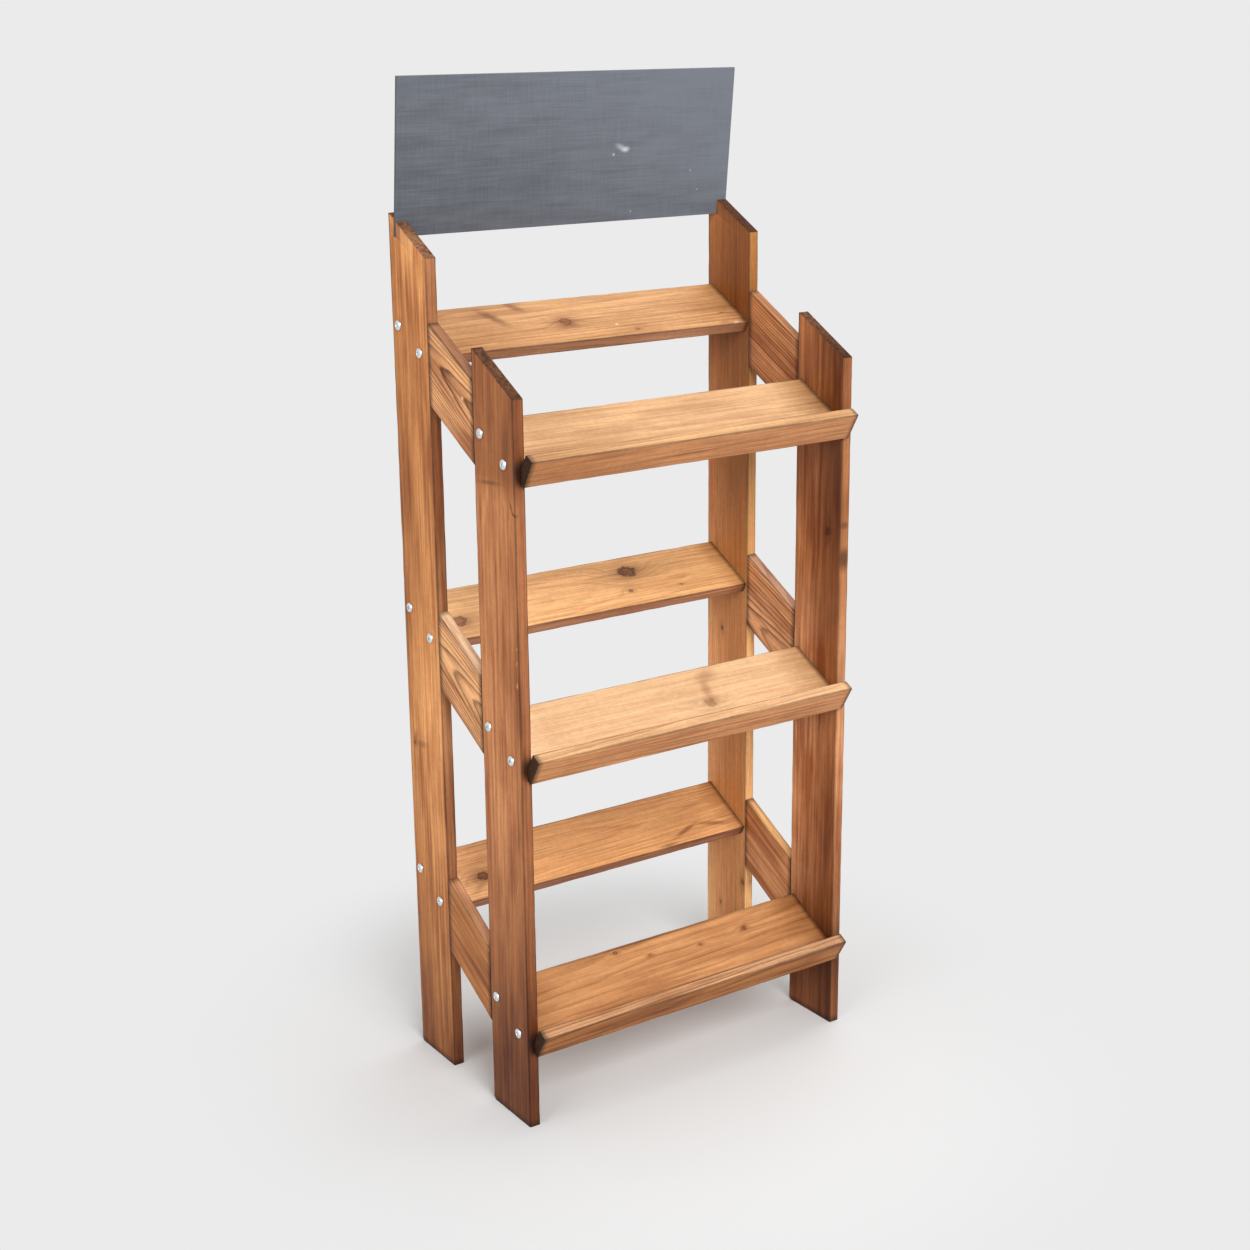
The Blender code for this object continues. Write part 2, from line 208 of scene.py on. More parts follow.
LIP_LOOKS = {
    "upper": dict(
        heart=(30, -40), ring=3.6, taper=0.02, wander=3, contrast=0.44, uneven=0.5, seed=7.2,
        early="#B98155", late="#754728", edge=(1.17, 1.43, 1.53),
        along=((-190, 0.88), (0, 1), (190, 1)),
    ),
    "middle": dict(
        heart=(-36, -30), ring=3.2, taper=0.02, wander=3, contrast=0.52, uneven=0.6, seed=8.8,
        early="#C78D5F", late="#764825", edge=(1.21, 1.51, 1.81),
        along=((-190, 0.9), (0, 1), (190, 1)),
    ),
    "lower": dict(
        heart=(22, -50), ring=3.4, taper=0.02, wander=4, contrast=0.85, seed=9.1,
        early="#AD6F36", late="#603515", edge=(1.39, 1.95, 4.2),
        along=((-190, 0.9), (0, 1), (190, 1)),
    ),
}
UPRIGHT_LOOKS = {
    "left_rear": dict(
        heart=(-60, -40), ring=5.5, taper=0.012, wander=5, contrast=0.33, veins=0.2,
        fibres=0.85, seed=10.5, early="#FDB877", late="#A76939", ends="#8C6450",
        edge=(0.464, 0.424, 0.493),
        knots=((-95.8, -23.7, 1.6, 0.8),),
        stains=((-94, -10, 20, 5, 80, 0.4), (-90, -22, 12, 5, 20, 0.4)),
        across=((-34, 0.70), (-12, 0.74), (12, 1), (34, 0.91)),
        along=((-441, 0.31), (-260, 0.64), (-90, 0.94), (60, 0.70), (300, 0.67), (440, 1)),
    ),
    "left_front": dict(
        heart=(50, 46), ring=4.6, taper=0.014, wander=6, contrast=0.32, veins=0.2,
        fibres=0.65, seed=11.4, early="#C98857", late="#794727", ends="#75543F",
        edge=(0.575, 0.521, 0.532),
        stains=((245, 28, 8, 1.7, 158, 1), (238.5, 32.4, 5, 1.6, 120, 1),
                (262, -10, 30, 3, 85, 0.5), (300, 20, 40, 9, 4, 0.4)),
        scuffs=((111.5, 32, 1.8, 1, 60, 0.55), (98, 31.5, 2.8, 1.1, 20, 0.6),
                (75.8, 31, 3.4, 1.4, 0, 0.7), (-135, 22, 14, 0.6, 12, 0.4)),
        edge_stains_and_lip_shadows=((277, 17, 0.9), (-8, 17, 0.9), (-293, 17, 0.85)),
        across=((-34, 0.95), (-12, 1), (12, 0.93), (34, 0.70)),
        along=((-383, 0.31), (-330, 0.29), (-230, 0.53), (-60, 1), (100, 0.89), (245, 0.95),
               (268, 0.55), (383, 0.65)),
    ),
    "right_rear": dict(
        heart=(-30, 58), ring=4.2, taper=0.014, wander=7, contrast=0.34, uneven=0.15,
        veins=0.2, seed=12.2, early="#FFC184", late="#FF6638", ends="#8C6450",
        edge=(0.943, 1.01, 0.959),
        knots=((-36.4, -8.1, 2, 0.8), (-330.6, 30.7, 2.6, 0.8), (-369.5, -9.1, 1.4, 0.8)),
        scuffs=((118, 8, 12, 1.8, -35, 0.42), (104, -8, 10, 1.6, -50, 0.36)),
        across=((-34, 1), (-12, 0.75), (12, 0.59), (34, 0.63)),
        along=((-441, 1), (-300, 0.88), (-70, 0.87), (90, 0.64), (330, 0.28), (441, 0.40)),
    ),
    "right_front": dict(
        heart=(24, 40), ring=3.6, taper=0.012, wander=6, contrast=0.36, veins=0.2,
        fibres=0.6, seed=13.8, early="#F8B582", late="#83543A", ends="#A87E66",
        edge=(0.759, 0.743, 0.727),
        knots=((164.3, 15.4, 3, 0.8),),
        stains=((201, 36, 107, 34, 0, 0.28), (164, 18, 10, 5, 60, 0.3)),
        scuffs=((-221, -15.4, 24, 12, 80, 0.10),),
        edge_stains_and_lip_shadows=((138.6, 16, 0.7), (173, 5, 0.45)),
        across=((-34, 1), (-12, 0.85), (12, 0.49), (34, 0.39)),
        along=((-383, 0.34), (-300, 0.17), (-215, 0.64), (-60, 1), (120, 0.52), (383, 0.44)),
    ),
}
RAIL_LOOKS = {
    "left_upper": dict(
        heart=(10.5, 46), ring=1.4, taper=0.028, wander=0.6, tremble=0.8, contrast=1,
        faintest=0.65, veins=0.1, seed=14.1, early="#E6A974", late="#6C3E22",
        edge=(0.443, 0.389, 0.415), edge_lines=0.3,
        scuffs=((-19, 9, 3, 2.2, 0, 0.95),),
    ),
    "left_middle": dict(
        heart=(3, 44), ring=1.6, taper=0.036, wander=0.8, tremble=1, contrast=0.98,
        faintest=0.6, veins=0.1, seed=15.6, early="#E8AC76", late="#764829",
        edge=(1.17, 1.51, 2.14), edge_lines=0.3,
    ),
    "left_lower": dict(
        heart=(-70, 60), ring=3.6, taper=0.05, wander=4, contrast=0.32, veins=0.15, seed=16.3,
        early="#B0723E", late="#6B3C1B", edge=(1.51, 1.94, 3.5),
        scuffs=((-26.7, 32, 4, 1, 0, 0.8),),
    ),
    "right_upper": dict(
        heart=(-80, -30), ring=3.1, taper=0.02, wander=2, contrast=1, veins=0.15, seed=17.9,
        early="#C38252", late="#492817", edge=(0.76, 0.75, 0.682), edge_lines=0.4,
    ),
    "right_middle": dict(
        heart=(-22, 16), ring=4, taper=0.08, wander=4, contrast=1, veins=0.15, seed=18.4,
        early="#E4A471", late="#684125", edge=(0.815, 0.936, 1.29), edge_lines=0.4,
    ),
    "right_lower": dict(
        heart=(-70, 50), ring=4.2, taper=0.03, wander=3, contrast=0.32, veins=0.15, seed=19.2,
        early="#D2915F", late="#8C5731", edge=(1.2, 1.52, 1.53),
    ),
}

# A board that is as light at one end, or edge, as at the other.
EVEN = ((-500, 1.0), (500, 1.0))
# In millimetres: half a board's thickness, the arris band beside its edges, and how far a
# knot goes through.
HALF_THICKNESS = BOARD_THICKNESS / 2 / MM
ARRIS_BAND = 1.8
KNOT_DEPTH = 60
# Multiples of a knot's radius, along and across: the rings that it pushes aside, and itself.
KNOT_SWELLING = (4.4, 2.0)
KNOT_FACE = (1.25, 1.0)
# Far enough apart in the fourth dimension that no two noises of a board match.
NOISE_STEP = 3.3


def board_place(tree, centre, axes):
    """Texture coordinates, and a point in a board's own millimetres from its middle."""
    coordinates = add_node(tree, "TexCoord")
    place = add_node(
        tree, "Mapping",
        {"vector_type": "TEXTURE", "Location": centre, "Rotation": axes.to_euler(),
         "Scale": (MM, MM, MM)},
        {"Vector": coordinates.outputs["Object"]},
    )
    return coordinates, place.outputs[0]


def stretched_noise(tree, place, size, settings, turn=0.0):
    """Noise in lumps of about the given length, width and depth, turned by turn degrees."""
    stretched = add_node(
        tree, "Mapping",
        {"Rotation": (0, 0, radians(turn)), "Scale": [1 / side for side in size]},
        {"Vector": place},
    )
    return add_node(tree, "TexNoise", {"Scale": 1.0, **settings}, {"Vector": stretched})


def paint_mark(tree, colour, tint, place, spot, half_size, angle, strength, border, breakup):
    """Lays an oval mark over a colour, and returns what shows.

    spot is its middle. Its border fades in between two distances, in half sizes, and the
    noise breakup makes it ragged.
    """
    mark_place = add_node(
        tree, "Mapping",
        {"vector_type": "TEXTURE", "Location": spot, "Rotation": (0, 0, radians(angle)),
         "Scale": half_size},
        {"Vector": place},
    )
    mark = add_node(tree, "VectorMath", {"operation": "LENGTH"}, {0: mark_place})
    frayed = add_node(tree, "Math", {"operation": "ADD"}, {0: mark.outputs["Value"], 1: breakup})
    inside = add_node(
        tree, "MapRange",
        {"interpolation_type": "SMOOTHSTEP", "From Min": border[0], "From Max": border[1],
         "To Max": strength},
        {"Value": frayed},
    )
    return add_node(
        tree, "Mix", {"data_type": "RGBA", 7: linear(tint)}, {0: inside, 6: colour}
    ).outputs[2]


def pine_noise(tree, place, seed):
    """Noise stretched with the grain: its size in millimetres, along and across, and detail."""
    fields = {}
    for field, along_size, across_size, detail in (
        ("wave", 200, 60, 2),      # the rings wave over some 200 mm
        ("tremble", 45, 7, 3),     # each line trembles by under a millimetre
        ("band", 170, 5, 3),       # streaks where the stain took more, about 5 mm wide
        ("cloud", 110, 26, 2),     # patches where it took more, about 110 by 26 mm
        ("fibre", 70, 0.8, 5),     # fibres are really 0.05 mm wide; drawn wider, they show
        ("vein", 150, 5, 2),       # thin dark veins between the year's lines
        ("fray", 5, 4, 3),         # small blotches, and ragged borders of knots and stains
    ):
        fields[field] = stretched_noise(
            tree, place, (along_size, across_size, across_size),
            {"noise_dimensions": "4D", "W": seed + len(fields) * NOISE_STEP, "Detail": detail,
             "Roughness": 0.6},
        )
    return fields


def growth_rings(tree, look, place, along_grain, fields):
    """Millimetres of growth from the heart of the tree, flowing round the board's knots.

    With them come the knots: for each, the distance from its middle in radii, the swelling
    round it and its strength.
    """
    wander = look["wander"]
    heart_y, heart_z = look["heart"]
    heart = add_node(
        tree, "VectorMath",
        {"operation": "MULTIPLY_ADD", 1: (0, 2 * wander, 2 * wander),
         2: (0, -wander - heart_y, -wander - heart_z)},
        {0: fields["wave"].outputs["Color"]},
    )
    from_heart = add_node(
        tree, "VectorMath", {"operation": "MULTIPLY_ADD", 1: (0, 1, 1)}, {0: place, 2: heart}
    )
    radius = add_node(tree, "VectorMath", {"operation": "LENGTH"}, {0: from_heart})
    tapered = add_node(
        tree, "Math", {"operation": "MULTIPLY_ADD", 1: look["taper"]},
        {0: along_grain, 2: radius.outputs["Value"]},
    )
    growth = add_node(
        tree, "Math", {"operation": "MULTIPLY_ADD", 1: look.get("tremble", 2.0)},
        {0: fields["tremble"], 2: tapered},
    ).outputs[0]
    knots = []
    for knot_x, knot_y, knot_radius, strength in look.get("knots", ()):
        swelling_place, face_place = (
            add_node(
                tree, "Mapping",
                {"vector_type": "TEXTURE", "Location": (knot_x, knot_y, 0),
                 "Scale": (along * knot_radius, across * knot_radius, KNOT_DEPTH)},
                {"Vector": place},
            )
            for along, across in (KNOT_SWELLING, KNOT_FACE)
        )
        spread = add_node(
            tree, "VectorMath", {"operation": "DOT_PRODUCT"},
            {0: swelling_place, 1: swelling_place},
        )
        fall = add_node(
            tree, "Math", {"operation": "MULTIPLY", 1: -1.0}, {0: spread.outputs["Value"]}
        )
        swelling = add_node(tree, "Math", {"operation": "EXPONENT"}, {0: fall}).outputs[0]
        growth = add_node(
            tree, "Math", {"operation": "MULTIPLY_ADD", 1: 1.7 * knot_radius},
            {0: swelling, 2: growth},
        ).outputs[0]
        face = add_node(tree, "VectorMath", {"operation": "LENGTH"}, {0: face_place})
        knots.append((face.outputs["Value"], swelling, strength))
    return growth, knots


def summer_lines(tree, look, growth, vein_noise):
    """The dark wood of each summer, alone and together with the thin veins between."""
    rings = add_node(tree, "Math", {"operation": "MULTIPLY", 1: 1 / look["ring"]}, {0: growth})
    year = add_node(tree, "Math", {"operation": "FLOOR"}, {0: rings})
    season = add_node(tree, "Math", {"operation": "FRACT"}, {0: rings})
    summer = add_node(tree, "ValToRGB", links={0: season})
    set_stops(summer, [
        (part_of_year, (darkness, darkness, darkness, 1))
        for part_of_year, darkness in (
            (0.00, 0.40), (0.09, 0.02), (0.35, 0.08), (0.66, 0.42), (0.86, 0.92), (0.94, 1.0),
            (1.00, 0.40),
        )
    ])
    # Some years leave a strong line and some a faint one.
    year_chance = add_node(tree, "TexWhiteNoise", {"noise_dimensions": "1D"}, {"W": year})
    year_strength = add_node(
        tree, "MapRange", {"To Min": look.get("faintest", 0.25)},
        {"Value": year_chance.outputs["Value"]},
    )
    summer_wood = add_node(
        tree, "Math", {"operation": "MULTIPLY"}, {0: summer, 1: year_strength}
    ).outputs[0]
    # A vein runs where the noise, cut into 13 steps, nears the end of a step.
    vein_steps = add_node(tree, "Math", {"operation": "MULTIPLY", 1: 13.0}, {0: vein_noise})
    vein_share = add_node(tree, "Math", {"operation": "FRACT"}, {0: vein_steps})
    vein = add_node(
        tree, "MapRange",
        {"From Min": 0.72, "From Max": 0.96, "To Max": look.get("veins", 0.45)},
        {"Value": vein_share},
    )
    lines = add_node(tree, "Math", {"operation": "MAXIMUM"}, {0: summer_wood, 1: vein})
    return summer_wood, lines.outputs[0]


def paint_knot(tree, colour, fray, face, swelling, strength):
    """Adds a knot's resin-dark halo, its red-brown face and its dark rim of bark."""
    halo = add_node(tree, "Math", {"operation": "MULTIPLY", 1: 0.55 * strength}, {0: swelling})
    haloed = add_node(
        tree, "Mix", {"data_type": "RGBA", 7: linear("#7E4520")}, {0: halo, 6: colour}
    )
    shifted = add_node(tree, "Math", {"operation": "MULTIPLY_ADD", 1: 2.2, 2: -1.1}, {0: fray})
    ragged = add_node(tree, "Math", {"operation": "ADD"}, {0: shifted, 1: face})
    knot = add_node(tree, "ValToRGB", links={0: ragged})
    set_stops(knot, (
        (0.00, linear("#7A482F")),
        (0.35, linear("#A66A45")),
        (0.62, linear("#8A5233")),
        (0.78, linear("#4E2C1C")),
        (1.00, linear("#33200F")),
    ))
    inside = add_node(
        tree, "MapRange",
        {"interpolation_type": "SMOOTHSTEP", "From Min": 1.35, "From Max": 0.75,
         "To Max": 0.92 * strength},
        {"Value": ragged},
    )
    return add_node(
        tree, "Mix", {"data_type": "RGBA"}, {0: inside, 6: haloed.outputs[2], 7: knot}
    ).outputs[2]


def stained_pine(name, look, centre, axes, length, width, seen, joint):
    """Sawn and sanded pine under a brushed brown wood stain.

    The eye gets pale golden spring growth between sharp brown summer lines, about 2 to 5 mm
    apart, with fine fibres along the grain, bands and clouds where the stain took more, dark
    knots that the lines flow round, and dark mottled ends that drank the stain. seen is the
    z of the face that the marks are on. joint is the way a butted end faces and how far it is
    from the middle; an upright has none.
    """
    material, tree, shader = new_material(name)
    coordinates, place = board_place(tree, centre, axes)
    parts = add_node(tree, "SeparateXYZ", links={0: place})
    fields = pine_noise(tree, place, look["seed"])
    fibre = fields["fibre"].outputs[0]
    tremble = fields["tremble"].outputs[0]
    fray = fields["fray"].outputs[0]
    growth, knots = growth_rings(tree, look, place, parts.outputs["X"], fields)
    summer_wood, lines = summer_lines(tree, look, growth, fields["vein"].outputs[0])

    # The last 1.8 mm before an edge are its arris; past that lies the narrow edge itself.
    from_middle = add_node(tree, "VectorMath", {"operation": "ABSOLUTE"}, {0: place})
    into_band = add_node(
        tree, "VectorMath",
        {"operation": "SUBTRACT",
         1: (0, width / 2 / MM - ARRIS_BAND, HALF_THICKNESS - ARRIS_BAND)},
        {0: from_middle},
    )
    edge_parts = add_node(tree, "SeparateXYZ", links={0: into_band})
    on_edge = add_node(
        tree, "MapRange", {"From Min": 0.5, "From Max": 1.3}, {"Value": edge_parts.outputs["Y"]}
    )
    contrast = add_node(
        tree, "MapRange",
        {"To Min": look["contrast"], "To Max": look["contrast"] * look.get("edge_lines", 1.0)},
        {"Value": on_edge},
    )
    line_strength = add_node(tree, "Math", {"operation": "MULTIPLY"}, {0: lines, 1: contrast})
    colour = add_node(
        tree, "Mix",
        {"data_type": "RGBA", 6: linear(look["early"]), 7: linear(look["late"])},
        {0: line_strength},
    ).outputs[2]

    # Deeper stain is darker and redder.
    uneven = add_node(tree, "Math", {"operation": "ADD"}, {0: fields["band"], 1: fields["cloud"]})
    depth = add_node(
        tree, "MapRange",
        {"From Min": 0.86, "From Max": 1.20, "To Max": look.get("uneven", 1.0)},
        {"Value": uneven},
    )
    colour = add_node(
        tree, "Mix",
        {"data_type": "RGBA", "blend_type": "MULTIPLY", 7: linear("#BCA28E")},
        {0: depth, 6: colour},
    ).outputs[2]

    for face, swelling, strength in knots:
        colour = paint_knot(tree, colour, fray, face, swelling, strength)
    # Dark resin streaks and pale scuffs, on the seen face alone.
    for kind, tint in (("stains", look.get("stain_tint", "#502B14")), ("scuffs", "#F0D2B4")):
        for mark_x, mark_y, half_length, half_width, angle, strength in look.get(kind, ()):
            colour = paint_mark(
                tree, colour, tint, place, (mark_x, mark_y, seen),
                (half_length, half_width, 5), angle, strength, (1.60, 0.60), fray,
            )
    # Dark marks on the front edge: painted shadow cast by each lip's end on the left front post,
    # and stain beside the knot on the right front post.
    for mark_x, half_length, strength in look.get("edge_stains_and_lip_shadows", ()):
        colour = paint_mark(
            tree, colour, "#3A2114", place, (mark_x, width / 2 / MM, 0), (half_length, 3, 8),
            0, strength, (1.60, 0.80), tremble,
        )

    # The sawn ends soaked up more stain, most of all in their open pores.
    facing_end = add_node(
        tree, "VectorMath", {"operation": "DOT_PRODUCT", 1: axes.col[0]},
        {0: coordinates.outputs["Normal"]},
    )
    end_share = add_node(tree, "Math", {"operation": "ABSOLUTE"}, {0: facing_end.outputs["Value"]})
    end_grain = add_node(
        tree, "MapRange", {"From Min": 0.25, "From Max": 0.60, "To Max": 0.86},
        {"Value": end_share},
    )
    torn = add_node(tree, "Math", {"operation": "MULTIPLY_ADD", 1: 0.5}, {0: fibre, 2: fray})
    pores = add_node(tree, "ValToRGB", links={0: torn})
    set_stops(pores, ((0.62, linear("#20130D")), (0.90, linear(look.get("ends", "#5A3A29")))))
    colour = add_node(
        tree, "Mix", {"data_type": "RGBA"}, {0: end_grain, 6: colour, 7: pores}
    ).outputs[2]
    # The narrow edges get a tone of their own: partly how they took the stain, partly painted
    # light and shade for the way they face, with a painted whitish sheen on the up-facing edges of
    # the lips and some rails.
    colour = add_node(
        tree, "Mix",
        {"data_type": "RGBA", "blend_type": "MULTIPLY",
         7: (*look.get("edge", (0.9, 0.9, 0.9)), 1)},
        {0: on_edge, 6: colour},
    ).outputs[2]

    # How light the board is along it and across its faces, with borders as ragged as the
    # millimetres given here; darker is redder too. These tones are partly stain and partly painted
    # shade and light, for how much light fell on each stretch of the board.
    off_edge = add_node(tree, "Math", {"operation": "SUBTRACT", 0: 1.0}, {1: on_edge})
    for part, key, raggedness in (("X", "along", 30.0), ("Y", "across", 10.0)):
        stops = look.get(key, EVEN)
        first, last = stops[0][0], stops[-1][0]
        ragged_place = add_node(
            tree, "Math", {"operation": "MULTIPLY_ADD", 1: raggedness},
            {0: tremble, 2: parts.outputs[part]},
        )
        share = add_node(
            tree, "MapRange",
            {"From Min": first + raggedness / 2, "From Max": last + raggedness / 2},
            {"Value": ragged_place},
        )
        stain_and_painted_light_tone = add_node(tree, "ValToRGB", links={0: share})
        set_stops(stain_and_painted_light_tone, [
            ((stop - first) / (last - first), (light, light ** 1.3, light ** 1.7, 1))
            for stop, light in stops
        ])
        toning = add_node(
            tree, "Mix", {"data_type": "RGBA", "blend_type": "MULTIPLY", 0: 1.0},
            {6: colour, 7: stain_and_painted_light_tone.outputs["Color"]},
        )
        if key == "across":
            tree.links.new(off_edge.outputs[0], toning.inputs[0])
        colour = toning.outputs[2]

    # The fibres differ in tone, and the brush left more stain on the long arrises.
    fibres = look.get("fibres", 1.0)
    fibre_tone = add_node(
        tree, "MapRange",
        {"From Min": 0.30, "From Max": 0.70, "To Min": 1 - 0.34 * fibres,
         "To Max": 1 + 0.30 * fibres},
        {"Value": fibre},
    )
    on_arris = add_node(
        tree, "Math", {"operation": "MINIMUM"},
        {0: edge_parts.outputs["Y"], 1: edge_parts.outputs["Z"]},
    )
    ragged_arris = add_node(
        tree, "Math", {"operation": "MULTIPLY_ADD", 1: 2.4}, {0: tremble, 2: on_arris}
    )
    arris_tone = add_node(
        tree, "MapRange",
        {"From Min": 1.2, "From Max": 2.2, "To Min": 1.0, "To Max": 0.46},
        {"Value": ragged_arris},
    )
    # Softer wood took the stain in small blotches too.
    blotches = add_node(
        tree, "MapRange",
        {"From Min": 0.30, "From Max": 0.70, "To Min": 1.08, "To Max": 0.92},
        {"Value": fray},
    )
    if joint:
        # Darker in the last few millimetres before a butted end: painted shade of the joint's gap,
        # together with stain pooled there.
        joint_faces, joint_distance = joint
        to_joint = add_node(
            tree, "VectorMath", {"operation": "DOT_PRODUCT", 1: joint_faces}, {0: place}
        )
        towards_end = add_node(
            tree, "Math", {"operation": "ABSOLUTE"}, {0: to_joint.outputs["Value"]}
        )
        ragged_joint = add_node(
            tree, "Math", {"operation": "MULTIPLY_ADD", 1: 6.0}, {0: fibre, 2: towards_end}
        )
        end_tone = add_node(
            tree, "MapRange",
            {"interpolation_type": "SMOOTHSTEP", "From Min": joint_distance / MM - 4.0,
             "From Max": joint_distance / MM + 2.5, "To Min": 1.0, "To Max": 0.36},
            {"Value": ragged_joint},
        )
    else:
        # The lowest few millimetres of a leg are darker: a painted contact shadow where it meets
        # the floor.
        end_tone = add_node(
            tree, "MapRange",
            {"From Min": -length / 2 / MM + 3, "From Max": -length / 2 / MM + 8,
             "To Min": 0.45},
            {"Value": parts.outputs["X"]},
        )
    tone = fibre_tone.outputs[0]
    for more in (arris_tone, blotches, end_tone):
        tone = add_node(tree, "Math", {"operation": "MULTIPLY"}, {0: tone, 1: more}).outputs[0]
    toned = add_node(tree, "VectorMath", {"operation": "SCALE"}, {0: colour, "Scale": tone})
    tree.links.new(toned.outputs[0], shader.inputs["Base Color"])

    gloss = add_node(
        tree, "MapRange",
        {"From Min": 0.3, "From Max": 0.7, "To Min": 0.60, "To Max": 0.46},
        {"Value": fibre},
    )
    roughness = add_node(tree, "Mix", {"data_type": "FLOAT", 3: 0.92}, {0: end_grain, 2: gloss})
    tree.links.new(roughness.outputs[0], shader.inputs["Roughness"])
    # A penetrating stain leaves no film, so the wood mirrors less than a lacquer does.
    shader.inputs["Specular IOR Level"].default_value = 0.2

    # Sanding leaves the hard summer lines proud of the soft wood, and the fibres raised.
    relief = add_node(
        tree, "Math", {"operation": "MULTIPLY_ADD", 1: 0.6}, {0: summer_wood, 2: fibre}
    )
    bump = add_node(tree, "Bump", {"Strength": 0.35, "Distance": 0.00025}, {"Height": relief})
    tree.links.new(bump.outputs[0], shader.inputs["Normal"])
    return material


def sawn_blank(length, width, thickness):
    bm = bmesh.new()
    bmesh.ops.create_cube(bm, size=1.0)
    bmesh.ops.scale(bm, vec=(length, width, thickness), verts=bm.verts)
    return bm


def saw(bm, point, outward):
    """Cuts off what lies past a plane and closes the sawn face."""
    cut = bmesh.ops.bisect_plane(
        bm, geom=[*bm.verts, *bm.edges, *bm.faces], plane_co=point, plane_no=outward,
        clear_outer=True,
    )
    rim = [item for item in cut["geom_cut"] if isinstance(item, bmesh.types.BMEdge)]
    bmesh.ops.holes_fill(bm, edges=rim, sides=0)


def with_grain(edge):
    run = edge.verts[1].co - edge.verts[0].co
    return abs(run.normalized().x) > 0.999


def across_grain(face):
    """True for a sawn end, which may slope by up to 45 degrees."""
    return abs(face.normal.x) > 0.4


def round_edges(bm, edges, radius, segments):
    bmesh.ops.bevel(
        bm, geom=edges, offset=radius, offset_type="OFFSET", segments=segments, profile=0.5,
        affect="EDGES", material=-1,
    )


def ease_edges(bm):
    """Rounds the long arrises, and takes the saw's sharpness off the ends."""
    bmesh.ops.recalc_face_normals(bm, faces=bm.faces)
    round_edges(bm, [edge for edge in bm.edges if with_grain(edge)], ARRIS_RADIUS, 3)
    bm.normal_update()
    rims = [
        edge for edge in bm.edges
        if len(edge.link_faces) == 2
        and across_grain(edge.link_faces[0]) != across_grain(edge.link_faces[1])
    ]
    round_edges(bm, rims, SAWN_EDGE_RADIUS, 2)


def wear_arrises(bm, length, width, seed):
    """Loops every 10 mm let the handled arrises wander by a third of a millimetre."""
    long_edges = [
        edge for edge in bm.edges if with_grain(edge) and edge.calc_length() > 2 * LOOP_SPACING
    ]
    bmesh.ops.subdivide_edges(bm, edges=long_edges, cuts=int(length / LOOP_SPACING))
    arris_reach = 0.9 * ARRIS_RADIUS
    for vert in bm.verts:
        side = abs(vert.co.y) > width / 2 - arris_reach
        face = abs(vert.co.z) > BOARD_THICKNESS / 2 - arris_reach
        if side and face:
            # Each arris of each board has its own dents; the noise peaks at about 1 / 1.6.
            corner = 7 * (vert.co.y > 0) + 13 * (vert.co.z > 0)
            chance = noise.noise(Vector((vert.co.x * DENTS_PER_METRE, seed * 3.1, corner)))
            depth = ARRIS_WEAR * max(0.0, chance) * 1.6
            inward = Vector((0, -vert.co.y, -vert.co.z * width / BOARD_THICKNESS)).normalized()
            vert.co += inward * depth


def finish_board(name, bm, look, centre, axes, length, width, node, seen, joint=None):
    wear_arrises(bm, length, width, look["seed"])
    board = new_piece(name, bm, centre, axes)
    board.data.materials.append(
        stained_pine(f"{name}_stained_pine", look, centre, axes, length, width, seen, joint)
    )
    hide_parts(node)
    return board


def even_shading(board):
    board.data.shade_smooth()
    shading = board.modifiers.new("even_shading", "WEIGHTED_NORMAL")
    shading.keep_sharp = True


def carve(board, cutters):
    """Cuts housings into a board, and keeps the result as its mesh."""
    for cutter in cutters:
        boolean = board.modifiers.new(cutter.name, "BOOLEAN")
        boolean.operation = "DIFFERENCE"
        boolean.solver = "EXACT"
        boolean.object = cutter
    graph = bpy.context.evaluated_depsgraph_get()
    carved = bpy.data.meshes.new_from_object(board.evaluated_get(graph), depsgraph=graph)
    board.modifiers.clear()
    whole = board.data
    board.data = carved
    bpy.data.meshes.remove(whole)
    carved.name = board.name
    for cutter in cutters:
        bpy.data.objects.remove(cutter)


def box_cutter(name, size, centre, axes, foot=(1, 1)):
    """A box to carve with; foot is how its end at -x narrows in y and z."""
    bm = sawn_blank(*size)
    for vert in bm.verts:
        if vert.co.x < 0:
            vert.co.y *= foot[0]
            vert.co.z *= foot[1]
    return new_piece(name, bm, centre, axes)


UPRIGHT_AXES = axes_matrix(Z_AXIS, -Y_AXIS, X_AXIS)
RAIL_AXES = axes_matrix(SHELF_BACK, SHELF_UP, X_AXIS)
SLAT_AXES = axes_matrix(X_AXIS, SHELF_BACK, SHELF_UP)
LIP_AXES = axes_matrix(X_AXIS, SHELF_UP, -SHELF_BACK)


